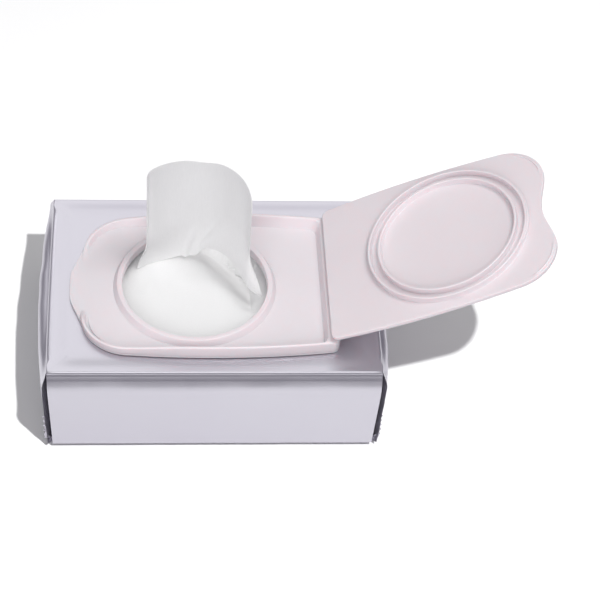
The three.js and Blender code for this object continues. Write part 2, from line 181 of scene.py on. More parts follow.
# %% [markdown]
# ## Sizes
# These repeat the CAD's own sizes. The lid is measured from the middle of its round opening: U runs
# along the pack towards the hinge, V towards the back, and heights are above the lid's underside.

# %% Sizes in millimetres
PACK_HALF_LENGTH = 73.75
PACK_HALF_DEPTH = 53.5
PACK_HEIGHT = 50.5
TOP_DOME = 1.2
STACK_TOP = 49.4
LID_X = -8.5
LID_Y = -4.6
SEAT_Z = 52.0
LID_HALF_WIDTH = 42.0
LID_LEFT = 51.0
LID_RIGHT = 63.7
TRAY_FLOOR = 1.0
RIM_HEIGHT = 6.5
OPENING_RADIUS = 32.9
COLLAR_OUTER = 35.2
COLLAR_FOOT = 36.8
COLLAR_HEIGHT = 4.0
HINGE_U = 59.0
HINGE_Z = 8.0
FLAP_UNDER = 6.8
FLAP_TOP = 9.2
FLAP_OPEN = math.radians(155)

# %% [markdown]
# ## Camera
# The camera was fitted to the pack's creases and the lid's rings: a long lens from in front and above,
# turned a little to the left and rolled a few degrees.

# %% Camera
CAMERA_TILT = math.radians(47.41)
CAMERA_TURN = math.radians(-6.641)
CAMERA_ROLL = math.radians(5.016)
CAMERA_AWAY = 950.36
CAMERA_TARGET = Vector((44.54, 35.53, 0.0))
FOCAL_PIXELS = 1941.02
PICTURE_PIXELS = 600.0
SENSOR_WIDTH = 36.0

level_reach = math.cos(CAMERA_TILT)
away = Vector((
    math.sin(CAMERA_TURN) * level_reach,
    -math.cos(CAMERA_TURN) * level_reach,
    math.sin(CAMERA_TILT),
))
level_right = Vector((math.cos(CAMERA_TURN), math.sin(CAMERA_TURN), 0.0))
level_up = away.cross(level_right)
right = math.cos(CAMERA_ROLL) * level_right + math.sin(CAMERA_ROLL) * level_up
up = math.cos(CAMERA_ROLL) * level_up - math.sin(CAMERA_ROLL) * level_right
bpy.ops.object.camera_add()
camera = bpy.context.object
camera.name = "camera"
camera.data.sensor_width = SENSOR_WIDTH
camera.data.lens = SENSOR_WIDTH * FOCAL_PIXELS / PICTURE_PIXELS
stand = (CAMERA_TARGET + away * CAMERA_AWAY) * MM
camera.matrix_world = Matrix.Translation(stand) @ Matrix((right, up, away)).transposed().to_4x4()
bpy.context.scene.camera = camera
print("camera stands at", [round(c, 3) for c in stand])

# %% [markdown]
# ## Colours and materials
# Colours are written as on a screen and turned into the linear values that the shader needs. Every
# material is made of nodes on the object's own coordinates, so each pattern has a real size.

# %% Helpers for materials
def colour(code):
    """A screen colour such as "e8dce0" as linear red, green, blue and alpha."""
    parts = [int(code[i:i + 2], 16) / 255 for i in (0, 2, 4)]
    linear = [p / 12.92 if p <= 0.04045 else ((p + 0.055) / 1.055) ** 2.4 for p in parts]
    return (*linear, 1.0)


def add_node(material, kind, inputs=None, **settings):
    """Add one node, set its properties, and set or link its inputs."""
    tree = material.node_tree
    made = tree.nodes.new(kind)
    for name, value in settings.items():
        setattr(made, name, value)
    for name, value in (inputs or {}).items():
        if isinstance(value, bpy.types.NodeSocket):
            tree.links.new(value, made.inputs[name])
        else:
            made.inputs[name].default_value = value
    return made


def new_material(name):
    """A bare material with its shader and the object's coordinates."""
    material = bpy.data.materials.new(name)
    material.use_nodes = True
    shader = material.node_tree.nodes["Principled BSDF"]
    place = add_node(material, "ShaderNodeTexCoord").outputs["Object"]
    return material, shader, place


def link(material, source, target):
    """Join one node's output to another node's input."""
    material.node_tree.links.new(source, target)


# %% [markdown]
# ### Pearl film
# The film is a metallised laminate under a pale lavender pearl ink, so it half mirrors the studio: the
# bright table in its front panel and the light panel behind in its top. Slow noise varies its tone a
# little, and two sizes of bump give it the soft cockle and fine grain of packed film.

# %% Pearl film
film_paint, shader, place = new_material("pearl_laminate_film")
tone = add_node(film_paint, "ShaderNodeTexNoise", {"Vector": place, "Scale": 1 / 0.045, "Detail": 2.0})
mixed = add_node(film_paint, "ShaderNodeMix", {"Factor": tone.outputs["Fac"]}, data_type="RGBA")
mixed.inputs["A"].default_value = colour("cecbd5")
mixed.inputs["B"].default_value = colour("d3d1d9")
link(film_paint, mixed.outputs["Result"], shader.inputs["Base Color"])
cockle = add_node(film_paint, "ShaderNodeTexNoise", {"Vector": place, "Scale": 1 / 0.018, "Detail": 1.0})
grain = add_node(film_paint, "ShaderNodeTexNoise", {"Vector": place, "Scale": 1 / 0.0009, "Detail": 3.0})
soft_bump = add_node(film_paint, "ShaderNodeBump", {"Height": cockle.outputs["Fac"], "Strength": 0.35})
soft_bump.inputs["Distance"].default_value = 0.0008
fine_bump = add_node(film_paint, "ShaderNodeBump", {"Height": grain.outputs["Fac"], "Strength": 0.12})
fine_bump.inputs["Distance"].default_value = 0.00004
link(film_paint, soft_bump.outputs["Normal"], fine_bump.inputs["Normal"])
link(film_paint, fine_bump.outputs["Normal"], shader.inputs["Normal"])
gloss = add_node(film_paint, "ShaderNodeMapRange", {"Value": grain.outputs["Fac"]})
gloss.inputs["To Min"].default_value = 0.29
gloss.inputs["To Max"].default_value = 0.35
link(film_paint, gloss.outputs["Result"], shader.inputs["Roughness"])
shader.inputs["Metallic"].default_value = 0.72
print("film:", film_paint.name)

# %% [markdown]
# ### Moulded lid
# The lid is satin polypropylene with a faint pink tint. Light soaks a little way into it, which warms
# its grooves, and a fine spark-eroded grain keeps its gloss soft.

# %% Moulded lid plastic
lid_paint, shader, place = new_material("satin_pink_polypropylene")
cloud = add_node(lid_paint, "ShaderNodeTexNoise", {"Vector": place, "Scale": 1 / 0.03, "Detail": 2.0})
mixed = add_node(lid_paint, "ShaderNodeMix", {"Factor": cloud.outputs["Fac"]}, data_type="RGBA")
mixed.inputs["A"].default_value = colour("e2d9dd")
mixed.inputs["B"].default_value = colour("e5dde1")
link(lid_paint, mixed.outputs["Result"], shader.inputs["Base Color"])
grain = add_node(lid_paint, "ShaderNodeTexNoise", {"Vector": place, "Scale": 1 / 0.0006, "Detail": 2.0})
fine_bump = add_node(lid_paint, "ShaderNodeBump", {"Height": grain.outputs["Fac"], "Strength": 0.15})
fine_bump.inputs["Distance"].default_value = 0.00003
link(lid_paint, fine_bump.outputs["Normal"], shader.inputs["Normal"])
gloss = add_node(lid_paint, "ShaderNodeMapRange", {"Value": cloud.outputs["Fac"]})
gloss.inputs["To Min"].default_value = 0.33
gloss.inputs["To Max"].default_value = 0.41
link(lid_paint, gloss.outputs["Result"], shader.inputs["Roughness"])
shader.inputs["Subsurface Weight"].default_value = 0.45
shader.inputs["Subsurface Radius"].default_value = (1.0, 0.5, 0.5)
shader.inputs["Subsurface Scale"].default_value = 0.002
print("lid:", lid_paint.name)

# %% [markdown]
# ### Damp nonwoven
# A wipe is a felt of fine fibres, hydroentangled so that most run one way. Two stretched noises at a
# slant to each other make the fibres, and a little light soaks through the sheet.

# %% Damp nonwoven
wipe_paint, shader, place = new_material("damp_nonwoven")
fibre_height = None
for turn, stretch in ((0.15, 1.0), (-0.35, 0.8)):
    slanted = add_node(wipe_paint, "ShaderNodeMapping", {"Vector": place})
    slanted.inputs["Rotation"].default_value = (0.0, turn, turn)
    slanted.inputs["Scale"].default_value = (1 / 0.00035, 1 / 0.0006, stretch / 0.004)
    strand = add_node(wipe_paint, "ShaderNodeTexNoise", {"Vector": slanted.outputs["Vector"]})
    strand.inputs["Scale"].default_value = 1.0
    strand.inputs["Detail"].default_value = 3.0
    if fibre_height is None:
        fibre_height = strand.outputs["Fac"]
    else:
        fibre_height = add_node(
            wipe_paint, "ShaderNodeMath", {0: fibre_height, 1: strand.outputs["Fac"]}, operation="MAXIMUM"
        ).outputs["Value"]
mixed = add_node(wipe_paint, "ShaderNodeMix", {"Factor": fibre_height}, data_type="RGBA")
mixed.inputs["A"].default_value = colour("e2e2e2")
mixed.inputs["B"].default_value = colour("ececec")
link(wipe_paint, mixed.outputs["Result"], shader.inputs["Base Color"])
felt = add_node(wipe_paint, "ShaderNodeBump", {"Height": fibre_height, "Strength": 0.3})
felt.inputs["Distance"].default_value = 0.00012
link(wipe_paint, felt.outputs["Normal"], shader.inputs["Normal"])
shader.inputs["Roughness"].default_value = 0.8
shader.inputs["Subsurface Weight"].default_value = 0.35
shader.inputs["Subsurface Radius"].default_value = (1.0, 1.0, 1.0)
shader.inputs["Subsurface Scale"].default_value = 0.002
print("wipes:", wipe_paint.name)


def dress(piece, material, body, slot, *nodes):
    """Give a piece its material, the body that it rides on and the nodes that it stands for. slot is not
    used.
    """
    piece.data.materials.clear()
    piece.data.materials.append(material)
    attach(piece, body)
    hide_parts(*nodes)
    print(piece.name, len(piece.data.polygons), "faces")


# %% [markdown]
# ## Lid outline
# Both halves of the lid share one outline: long sides in shallow arcs, big round corners at the free
# end and small ones at the hinge. The points keep their order whatever the inset, so rings can join.

# %% Lid outline
END_STEPS = 22
HINGE_STEPS = 16
CORNER_STEPS = 24
SIDE_STEPS = 40
SMALL_CORNER_STEPS = 8
TAB_REACH = 5.4
WIDEST_U = 8.0
SIDE_BOW = 920.0
TAB_FLAT = 5.0
TAB_END = 25.0
TRAY_CORNER = 22.0
TRAY_HINGE_CORNER = 4.0
FLAP_SPARE = 0.2
FLAP_LEFT = 47.3
FLAP_RIGHT = 58.0
FLAP_CORNER = 20.0
FLAP_HINGE_CORNER = 3.0
END_HOLLOW = 3.8
END_HOLLOW_HALF = 22.0


def side_half(u, inset):
    """Half the lid's width at a place along it."""
    return LID_HALF_WIDTH - inset - (u - WIDEST_U) ** 2 / SIDE_BOW


def lid_outline(inset, left, right_end, left_corner, right_corner, end_at):
    """Points of (u, v) round the outline, from the middle of the hinge end and back to it."""
    far = []
    small_u = right_end - right_corner
    small_v = side_half(small_u, inset) - right_corner
    for i in range(HINGE_STEPS):
        far.append((right_end, small_v * i / HINGE_STEPS))
    for i in range(SMALL_CORNER_STEPS + 1):
        a = math.pi / 2 * i / SMALL_CORNER_STEPS
        far.append((small_u + right_corner * math.cos(a), small_v + right_corner * math.sin(a)))
    big_u = -left + left_corner
    big_v = side_half(big_u, inset) - left_corner
    for i in range(1, SIDE_STEPS):
        u = small_u + (big_u - small_u) * i / SIDE_STEPS
        far.append((u, side_half(u, inset)))
    for i in range(CORNER_STEPS + 1):
        a = math.pi / 2 * i / CORNER_STEPS
        v = big_v + left_corner * math.cos(a)
        far.append((-end_at(v) + left_corner * (1 - math.sin(a)), v))
    for i in range(1, END_STEPS + 1):
        v = big_v * (1 - i / END_STEPS)
        far.append((-end_at(v), v))
    near = [(u, -v) for u, v in far[1:-1]]
    return far + near[::-1]


def tray_outline(inset, at_hinge, tab=0.0):
    """The tray's outline. tab is how much of the finger tab it carries."""

    def end_at(v):
        full = 1 - smooth(TAB_FLAT, TAB_END, abs(v))
        return LID_LEFT - inset + tab * TAB_REACH * full

    left = LID_LEFT - inset
    right_end = LID_RIGHT - at_hinge
    return lid_outline(inset, left, right_end, TRAY_CORNER - inset, TRAY_HINGE_CORNER, end_at)


def flap_outline(inset):
    """The flap's outline, with the shallow hollow in its free end."""

    def end_at(v):
        share = min(1.0, abs(v) / END_HOLLOW_HALF)
        return FLAP_LEFT - inset - END_HOLLOW * (0.5 + 0.5 * math.cos(math.pi * share))

    left = FLAP_LEFT - inset
    right_end = FLAP_RIGHT - inset
    return lid_outline(FLAP_SPARE + inset, left, right_end, FLAP_CORNER - inset, FLAP_HINGE_CORNER, end_at)


def on_lid(outline, height):
    """Outline points at a height above the lid's underside, as places on the pack."""
    return [(LID_X + u, LID_Y + v, SEAT_Z + height) for u, v in outline]


def round_ring(outline, radius, height):
    """A circle round the opening whose points face those of the outline."""
    turned = [math.atan2(v, u) for u, v in outline]
    return on_lid([(radius * math.cos(a), radius * math.sin(a)) for a in turned], height)


# %% [markdown]
# ## Lid frame
# The frame is a shallow tray round the opening. Its skin starts under the finger tab, climbs the rim,
# drops to the floor, rises over the collar and runs back along the underside to where it started. The
# rim is lower towards the free end, leaves a gap behind the tab, and has a groove inside its near corner.

# %% Lid frame
RIM_GAP = 17.0
GAP_RUN = 17.0
GROOVE_DEPTH = 0.85
RIM_WIDTH = 1.6
HINGE_RIM_WIDTH = 5.2
COLLAR_ROOM = 0.5
FREE_END_DROP = 0.5
NEAR_GAP_RUN = 6
FOOT_INSET = 5.0


def hinge_inset(inset):
    """The rim is wider at the hinge: how far in its points stand there."""
    if inset <= RIM_WIDTH:
        return inset * HINGE_RIM_WIDTH / RIM_WIDTH
    return HINGE_RIM_WIDTH + (inset - RIM_WIDTH) * 3.0 / 3.4


def rim_share(u, v):
    """How much of the rim's height is there: less towards the free end, none behind the tab."""
    full = 1 - FREE_END_DROP * smooth(0, 48, -u)
    if u < -25 and v < 0:
        full *= smooth(RIM_GAP - 3, RIM_GAP + NEAR_GAP_RUN, -v)
    elif u < -25:
        full *= smooth(RIM_GAP - 3, RIM_GAP + GAP_RUN, v)
    return full


def groove_share(u, v):
    """How much of the groove's depth is there: all of it inside the near corner of the free end."""
    return smooth(17, 25, -v) * smooth(5, 35, -u)


def rim_ring(inset, height):
    """One ring of the rim. Its inner side is steeper on the near side and at the free end."""
    ring = []
    steep = 1.2 + (inset - RIM_WIDTH) * 0.5 if inset > RIM_WIDTH else inset * 0.75
    gentle_ring = tray_outline(inset, hinge_inset(inset))
    steep_ring = tray_outline(steep, hinge_inset(inset))
    for (u, v), (steep_u, steep_v) in zip(gentle_ring, steep_ring):
        share = max(smooth(-5, 25, -v), 0.6 * smooth(15, 45, -u))
        u = u + (steep_u - u) * share
        v = v + (steep_v - v) * share
        apart = math.hypot(u, v)
        room = COLLAR_FOOT + COLLAR_ROOM
        if inset > 3.0 and apart < room:
            u = u * room / apart
            v = v * room / apart
        full = groove_share(u, v) if height < TRAY_FLOOR else rim_share(u, v)
        ring.append((LID_X + u, LID_Y + v, SEAT_Z + TRAY_FLOOR + (height - TRAY_FLOOR) * full))
    return ring


foot_outline = tray_outline(FOOT_INSET, hinge_inset(FOOT_INSET))
rings = []
# How much of the tab each ring carries, and its height: a raised edge that falls to the floor.
TAB_PROFILE = ((1.0, 0.0), (1.0, 0.9), (0.985, 1.18), (0.95, 1.3), (0.88, 1.3), (0.8, 1.12), (0.7, 1.0))
for tab, height in TAB_PROFILE:
    rings.append(on_lid(tray_outline(0.0, 0.0, tab), height))
rim_profile = [
    (0.0, TRAY_FLOOR + 0.02, 0),
    (0.0, RIM_HEIGHT, 0.7),
    (RIM_WIDTH, RIM_HEIGHT, 0.7),
    (3.4, TRAY_FLOOR - GROOVE_DEPTH, 0.2),
    (5.2, TRAY_FLOOR - GROOVE_DEPTH, 0.2),
    (5.9, TRAY_FLOOR, 0.3),
    (6.1, TRAY_FLOOR, 0),
]
for inset, height in rounded(rim_profile):
    rings.append(rim_ring(inset, height))
collar_profile = [
    (COLLAR_FOOT + 0.35, TRAY_FLOOR, 0),
    (COLLAR_FOOT, TRAY_FLOOR, 0.3),
    (COLLAR_OUTER, COLLAR_HEIGHT, 0.55),
    (OPENING_RADIUS, COLLAR_HEIGHT, 0.5),
    (OPENING_RADIUS, 0.0, 0),
]
for radius, height in rounded(collar_profile):
    rings.append(round_ring(foot_outline, radius, height))
rings.append(rings[0])
lid_frame = skin_through("lid_frame_moulding", rings, "joined")
soften(lid_frame, 35)
dress(lid_frame, lid_paint, "pack", "lid", "lid_frame")

# %% [markdown]
# ## Lid flap
# The flap is drawn shut, as it leaves the mould, and then turned open about the hinge. Its skin goes
# from the outer face over the edge to the inner face, along the two lips at its lobes, over the guard
# ring with its snap bead, and over the plug ring to the middle.

# %% Lid flap
flap_edge = flap_outline(0.0)
rings = [round_ring(flap_edge, 4.0, FLAP_TOP), round_ring(flap_edge, 30.0, FLAP_TOP)]
edge_profile = [(4.0, FLAP_TOP, 0), (0.0, FLAP_TOP, 1.0), (0.0, FLAP_UNDER, 0.35), (0.9, FLAP_UNDER, 0)]
for inset, height in rounded(edge_profile):
    rings.append(on_lid(flap_outline(inset), height))


def lip_ring(inset, drop):
    """A ring of the inner face that stands proud by drop along the two lobes."""
    ring = []
    for (u, v), (x, y, z) in zip(flap_edge, on_lid(flap_outline(inset), FLAP_UNDER)):
        along = smooth(22, 25, abs(v)) * (1 - smooth(37, 39, abs(v))) if u < -20 else 0.0
        ring.append((x, y, z - drop * along))
    return ring


# How far in from the edge each ring of the lips is, and how far it stands proud.
LIP_PROFILE = (
    (1.0, 0.0), (1.15, 0.3), (1.35, 0.42), (1.65, 0.42), (1.85, 0.3), (2.0, 0.0), (2.6, 0.0), (4.0, 0.0),
)
for inset, drop in LIP_PROFILE:
    rings.append(lip_ring(inset, drop))


BEAD_SWELL = 0.6
BEAD_FULL = math.radians(24)
BEAD_END = math.radians(30)


def bead_ring(radius, height, share):
    """A ring of the guard ring's outer wall, with the snap bead at the free end."""
    ring = []
    for u, v in flap_edge:
        turn = math.atan2(v, -u)
        swell = BEAD_SWELL * share * (1 - smooth(BEAD_FULL, BEAD_END, abs(turn)))
        across = (radius + swell) * math.cos(turn)
        back = (radius + swell) * math.sin(turn)
        ring.append((LID_X - across, LID_Y + back, SEAT_Z + height))
    return ring


RING_TIP = FLAP_UNDER - 3.0
GUARD_OUTER = 37.2
GUARD_INNER = 36.0
PLUG_OUTER = 32.5
PLUG_INNER = 31.2
DRAFT = 0.1
foot_profile = [
    (GUARD_OUTER + 0.7, FLAP_UNDER, 0),
    (GUARD_OUTER + DRAFT, FLAP_UNDER, 0.35),
    (GUARD_OUTER + DRAFT / 2, 6.0, 0),
]
for radius, height in rounded(foot_profile):
    rings.append(round_ring(flap_edge, radius, height))
for height, share in ((5.6, 0.0), (5.45, 0.7), (5.1, 1.0), (4.75, 0.7), (4.6, 0.0)):
    rings.append(bead_ring(GUARD_OUTER, height, share))
ring_profile = [
    (GUARD_OUTER, 4.4, 0),
    (GUARD_OUTER - DRAFT, RING_TIP, 0.3),
    (GUARD_INNER + DRAFT, RING_TIP, 0.3),
    (GUARD_INNER, FLAP_UNDER, 0.35),
    (PLUG_OUTER, FLAP_UNDER, 0.35),
    (PLUG_OUTER - DRAFT, RING_TIP, 0.3),
    (PLUG_INNER + DRAFT, RING_TIP, 0.3),
    (PLUG_INNER, FLAP_UNDER, 0.35),
    (26.5, FLAP_UNDER, 0),
]
for radius, height in rounded(ring_profile):
    rings.append(round_ring(flap_edge, radius, height))
rings.append(round_ring(flap_edge, 26.0, FLAP_UNDER + 0.08))
rings.append(round_ring(flap_edge, 4.0, FLAP_UNDER + 0.08))
lid_flap = skin_through("lid_flap_moulding", rings, "capped")
hinge = Vector((LID_X + HINGE_U, LID_Y, SEAT_Z + HINGE_Z)) * MM
open_turn = Matrix.Rotation(FLAP_OPEN, 4, "Y")
lid_flap.matrix_world = Matrix.Translation(hinge) @ open_turn @ Matrix.Translation(-hinge)
bpy.ops.object.select_all(action="DESELECT")
lid_flap.select_set(True)
bpy.ops.object.transform_apply(location=True, rotation=True, scale=True)
soften(lid_flap, 35)
dress(lid_flap, lid_paint, "lid", "lid", "lid_flap")

# %% [markdown]
# ## Film wrapper
# The film is folded round the stack like a parcel. Its skin climbs from the base in level rings: front
# and back panels that swell out under the crease, a tucked gusset at each upright corner, and ends with
# a valley and a belly. The lower edge stands a little off the ground. The skin then rolls over the
# crease and runs in over the top panel to the round hole under the lid.

# %% Film wrapper
FRONT_STEPS = 60
END_FOLD_STEPS = 28
GUSSET_DEPTH = 6.5
FILM_HOLE = 34.1
FRONT_ROLL = 1.2
END_ROLL = 3.0
END_DROP = 0.9
BASE_LIFT = 3.0
BASE_INSET = 10
END_TAPER = 1.4
PANEL_LEAN = -0.50
PANEL_TURN = 0.562
END_BELLY = 3.5
TOP_RUN = 7
WALL_LEVELS = (
    0.0, 0.15, 0.4, 0.8, 1.3, 2.0, 3, 4.5, 6.5, 9, 12, 15, 18, 21, 24, 27, 30, 32, 34, 36, 38,
    39.5, 41, 42.2, 43.4, 44.4, 45.4, 46.2, 47, 47.8, 48.5, 49.2,
)


def panel_sink(below):
    """How far the front and back panels stand in under the crease. Below zero, they swell out."""
    step = 0.25
    return sum(step * (PANEL_LEAN + PANEL_TURN * smooth(3, 14, k * step)) for k in range(int(below / step)))


def end_swell(below):
    """How far the end panels stand out: a roll under the crease, a valley, then a soft belly."""
    roll = 0.5 * bump(below, 1.5, 1.5)
    valley = -2.2 * bump(below, 4.5, 1.7)
    belly = END_BELLY * smooth(4, 10, below) * (1 - 0.9 * smooth(24, 50, below))
    return roll + valley + belly


def pack_ring(z):
    """One level ring of the walls."""
    below = PACK_HEIGHT - z
    base = BASE_INSET * max(0.0, 1 - z / BASE_LIFT)
    half = PACK_HALF_LENGTH - END_TAPER * below / PACK_HEIGHT - base
    deep = PACK_HALF_DEPTH - panel_sink(below) - base
    opened = smooth(0, 7, below)
    ring = []
    for i in range(FRONT_STEPS + 1):
        x = half * (2 * i / FRONT_STEPS - 1)
        wave = 0.22 * ripple(x, z, 24) * smooth(1, 9, below) * smooth(0, 6, z)
        ring.append([x, -deep + wave, z])
    root_x = half + 0.15 + 0.4 * opened
    root_y = deep - 0.15 - GUSSET_DEPTH * opened
    flap_x = half + 0.3 + 2.1 * opened
    ring.append([root_x, -root_y, z])
    for i in range(END_FOLD_STEPS + 1):
        share = 2 * i / END_FOLD_STEPS - 1
        swell = end_swell(below) * (1 - abs(share) ** 2.5)
        wave = 0.45 * ripple(deep * share, z, 11) * smooth(0, 6, below) * smooth(0, 8, z)
        drop = END_DROP * (1 - smooth(0.85, 0.985, abs(share))) * (1 - smooth(0, 14, below))
        ring.append([flap_x + swell + wave, deep * share, z - drop])
    ring.append([root_x, root_y, z])
    return ring + [[-x, -y, z] for x, y, z in ring]


def crease_ring(roll):
    """A ring of the roll from the walls, at 0, to the top panel, at 1."""
    turn = roll * math.pi / 2
    ring = []
    for x, y, z in pack_ring(PACK_HEIGHT - FRONT_ROLL):
        at_end = smooth(PACK_HALF_LENGTH - 1, PACK_HALF_LENGTH, abs(x))
        at_end *= 1 - smooth(PACK_HALF_DEPTH - 7, PACK_HALF_DEPTH - 1, abs(y))
        size = FRONT_ROLL + (END_ROLL - FRONT_ROLL) * at_end
        inward = size * (1 - math.cos(turn))
        across = 1 - inward * (at_end if at_end > 0 else 1) / PACK_HALF_LENGTH
        lift = FRONT_ROLL * math.sin(turn) + END_DROP * at_end * math.sin(turn)
        deeper = 1 - FRONT_ROLL * (1 - math.cos(turn)) / PACK_HALF_DEPTH
        ring.append([x * across, y * deeper, z + lift])
    return ring


def top_height(x, y):
    """The top panel rises from its crease to a flat under the lid, with a few shallow dents."""
    from_end = PACK_HALF_LENGTH - abs(x)
    from_side = PACK_HALF_DEPTH - abs(y)
    from_edge = min(from_end, from_side)
    rise = (1 - max(0.0, 1 - from_end / 17) ** 2) * (1 - max(0.0, 1 - from_side / 16) ** 2)
    dent = 0.05 * ripple(x, y, 15) * smooth(1, 6, from_edge) * (1 - smooth(9, 16, from_edge))
    return min(TOP_DOME, TOP_DOME * rise + dent)


def top_ring(inset):
    """A ring of the top panel, drawn in from the crease."""
    ring = []
    for x, y, z in crease_ring(1.0):
        px = x * (1 - inset / PACK_HALF_LENGTH)
        py = y * (1 - inset / PACK_HALF_DEPTH)
        ease = smooth(0, TOP_RUN, inset)
        ring.append((px, py, z * (1 - ease) + PACK_HEIGHT * ease + ease * top_height(px, py)))
    return ring


rings = []
for z in WALL_LEVELS:
    rings.append(pack_ring(z))
for roll in (0.0, 0.15, 0.3, 0.45, 0.6, 0.75, 0.9, 1.0):
    rings.append(crease_ring(roll))
for inset in (0.6, 1.4, 2.4, 3.6, 5, 6.5, 8, 10, 12, 15):
    rings.append(top_ring(inset))
hole_turns = [math.atan2(y - LID_Y, x - LID_X) for x, y, z in rings[-1]]
for radius in (FILM_HOLE + 1.5, FILM_HOLE):
    hole = [(LID_X + radius * math.cos(a), LID_Y + radius * math.sin(a)) for a in hole_turns]
    rings.append([(x, y, PACK_HEIGHT + TOP_DOME) for x, y in hole])
film = skin_through("film_wrap", rings, "foot capped")
soften(film, 50)

# %% [markdown]
# The two ends of the film tube are pressed together into a crimped fin, cut zigzag. A flat grid is
# drawn out along the end, ribbed, and toothed along its outer edge; its tails turn up at the corners.

# %% Crimped fins
FIN_STEPS = 288
FIN_ACROSS = 6
TOOTH_PITCH = 3.2
FIN_LEVEL = 49.0
FIN_BEND = 4.0
FIN_TAIL = 14.0
FIN_HEIGHT = 1.9
FIN_ROOT = 70.0
FIN_EDGE = 76.4
RIB_PITCH = 1.6
RIB_SIZE = 0.16


def fin_path(run):
    """Where the fin's middle line is, back and up, at a run along it from the middle."""
    side = -1 if run < 0 else 1
    run = abs(run)
    if run < FIN_LEVEL:
        return side * run, FIN_HEIGHT
    turn = min(1.0, (run - FIN_LEVEL) / (FIN_BEND * math.pi / 2)) * math.pi / 2
    climb = max(0.0, run - FIN_LEVEL - FIN_BEND * math.pi / 2)
    back = side * (FIN_LEVEL + FIN_BEND * math.sin(turn))
    return back, FIN_HEIGHT + FIN_BEND * (1 - math.cos(turn)) + climb


fins = []
fin_half = FIN_LEVEL + FIN_BEND * math.pi / 2 + FIN_TAIL
for side in (-1, 1):
    bpy.ops.object.select_all(action="DESELECT")
    bpy.ops.mesh.primitive_grid_add(x_subdivisions=FIN_STEPS, y_subdivisions=FIN_ACROSS, size=2.0)
    fin = bpy.context.object
    fin.name = "crimped_fin"
    for vert in fin.data.vertices:
        run = vert.co.x * fin_half
        out = vert.co.y / 2 + 0.5
        back, high = fin_path(run)
        tooth = abs((run / TOOTH_PITCH) % 1.0 - 0.5) * 2
        tail = smooth(FIN_LEVEL, FIN_LEVEL + 8, abs(run))
        inner = FIN_ROOT + 4.6 * tail
        outer = FIN_EDGE + 0.2 * tail - 1.0 * tooth * smooth(0.6, 1.0, out)
        rib = RIB_SIZE * math.sin(2 * math.pi * run / RIB_PITCH) * smooth(0.2, 0.5, out)
        x = inner + (outer - inner) * out
        vert.co = Vector((side * x, back + rib * tail, high + rib * (1 - tail))) * MM
    finish_with(fin, "SOLIDIFY", thickness=0.00035, offset=0.0)
    fins.append(fin)
bpy.ops.object.select_all(action="DESELECT")
for piece in (*fins, film):
    piece.select_set(True)
bpy.context.view_layer.objects.active = film
bpy.ops.object.join()
dress(film, film_paint, "pack", "film", "film_wrapper")

# %% [markdown]
# ## Folded wipes in the pack
# The stack is a soft block. A box is added, cut fine on top, and its top is moved into the low waves
# that folded, damp wipes have. One fold is lifted at the left, and a hollow slopes down at the right,
# where the pulled wipe was drawn from.

# %% Folded wipes
stack_low, stack_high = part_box("wipe_stack")
bpy.ops.object.select_all(action="DESELECT")
STACK_SPARE = Vector((0.004, 0.005, 0.0))
FOLD_HEIGHT = 1.5
HOLLOW_SLOPE = 0.75
HOLLOW_DEPTH = 13.0
bpy.ops.mesh.primitive_cube_add(
    size=1.0, location=(stack_low + stack_high) / 2, scale=stack_high - stack_low - STACK_SPARE
)
stack = bpy.context.object
stack.name = "folded_wipes"
bpy.ops.object.transform_apply(location=True, rotation=True, scale=True)
bpy.ops.object.mode_set(mode="EDIT")
bpy.ops.mesh.select_all(action="SELECT")
bpy.ops.mesh.bevel(offset=0.004, segments=4, profile=0.5, affect="EDGES")
bpy.ops.mesh.select_all(action="SELECT")
bpy.ops.mesh.subdivide(number_cuts=40)
bpy.ops.object.mode_set(mode="OBJECT")
for vert in stack.data.vertices:
    x, y, z = vert.co / MM
    u, v = x - LID_X, y - LID_Y
    lifted = smooth(STACK_TOP - 6, STACK_TOP - 1, z)
    lifted *= 1 - smooth(OPENING_RADIUS - 2, OPENING_RADIUS + 1, math.hypot(u, v))
    wave = 0.12 * ripple(u, v, 14)
    fold = FOLD_HEIGHT * bump((u + 23) + 0.45 * (v - 4), 0.0, 3.0) * smooth(-14, 4, v)
    past_brink = max(0.0, 0.86 * (u - 3) - 0.5 * (19 - v))
    hollow = min(HOLLOW_DEPTH, HOLLOW_SLOPE * past_brink) * smooth(-14, -7, v) * (1 - smooth(25, 31, u))
    vert.co.z += lifted * (wave + fold - hollow) * MM
soften(stack, 60)
dress(stack, wipe_paint, "pack", "wipes", "wipe_stack")

# %% [markdown]
# ## Pulled wipe
# One wipe stands up out of the opening as a curved curtain. A flat grid is added and its points are
# moved between two curves, the hem where it leaves the stack and the free edge above, with soft
# upright folds across it. It is then given the thickness of a wipe.

# %% Pulled wipe
WIPE_ACROSS = 96
WIPE_UP = 80
FOLD_SIZE = 0.5
FOLD_COUNT = 4
PLEAT_SIZE = 1.3
# Hem from left to right: across and back in opening radii, then millimetres above the stack.
HEM = [
    (-0.80, 0.40, -1.6),
    (-0.64, 0.53, -1.2),
    (-0.45, 0.60, -0.2),
    (-0.28, 0.64, 0.8),
    (-0.12, 0.65, 2.2),
    (0.02, 0.58, 4.5),
    (0.15, 0.51, 11.5),
    (0.40, 0.36, 12.5),
    (0.60, 0.14, 9.5),
    (0.74, -0.05, 4.5),
    (0.92, -0.1, 0.3),
]
# Free edge from left to right, from the opening's middle, then above the crease.
FREE_EDGE = [
    (-21.7, 8.0, 63.5),
    (-20.0, 10.5, 65.0),
    (-14.0, 16.0, 63.3),
    (-4.4, 21.0, 60.8),
    (3.5, 21.5, 59.4),
    (11.5, 18.6, 60.6),
    (17.5, 13.8, 60.6),
    (21.6, 9.0, 58.4),
    (23.8, 5.6, 53.8),
    (24.2, 4.2, 48.5),
]


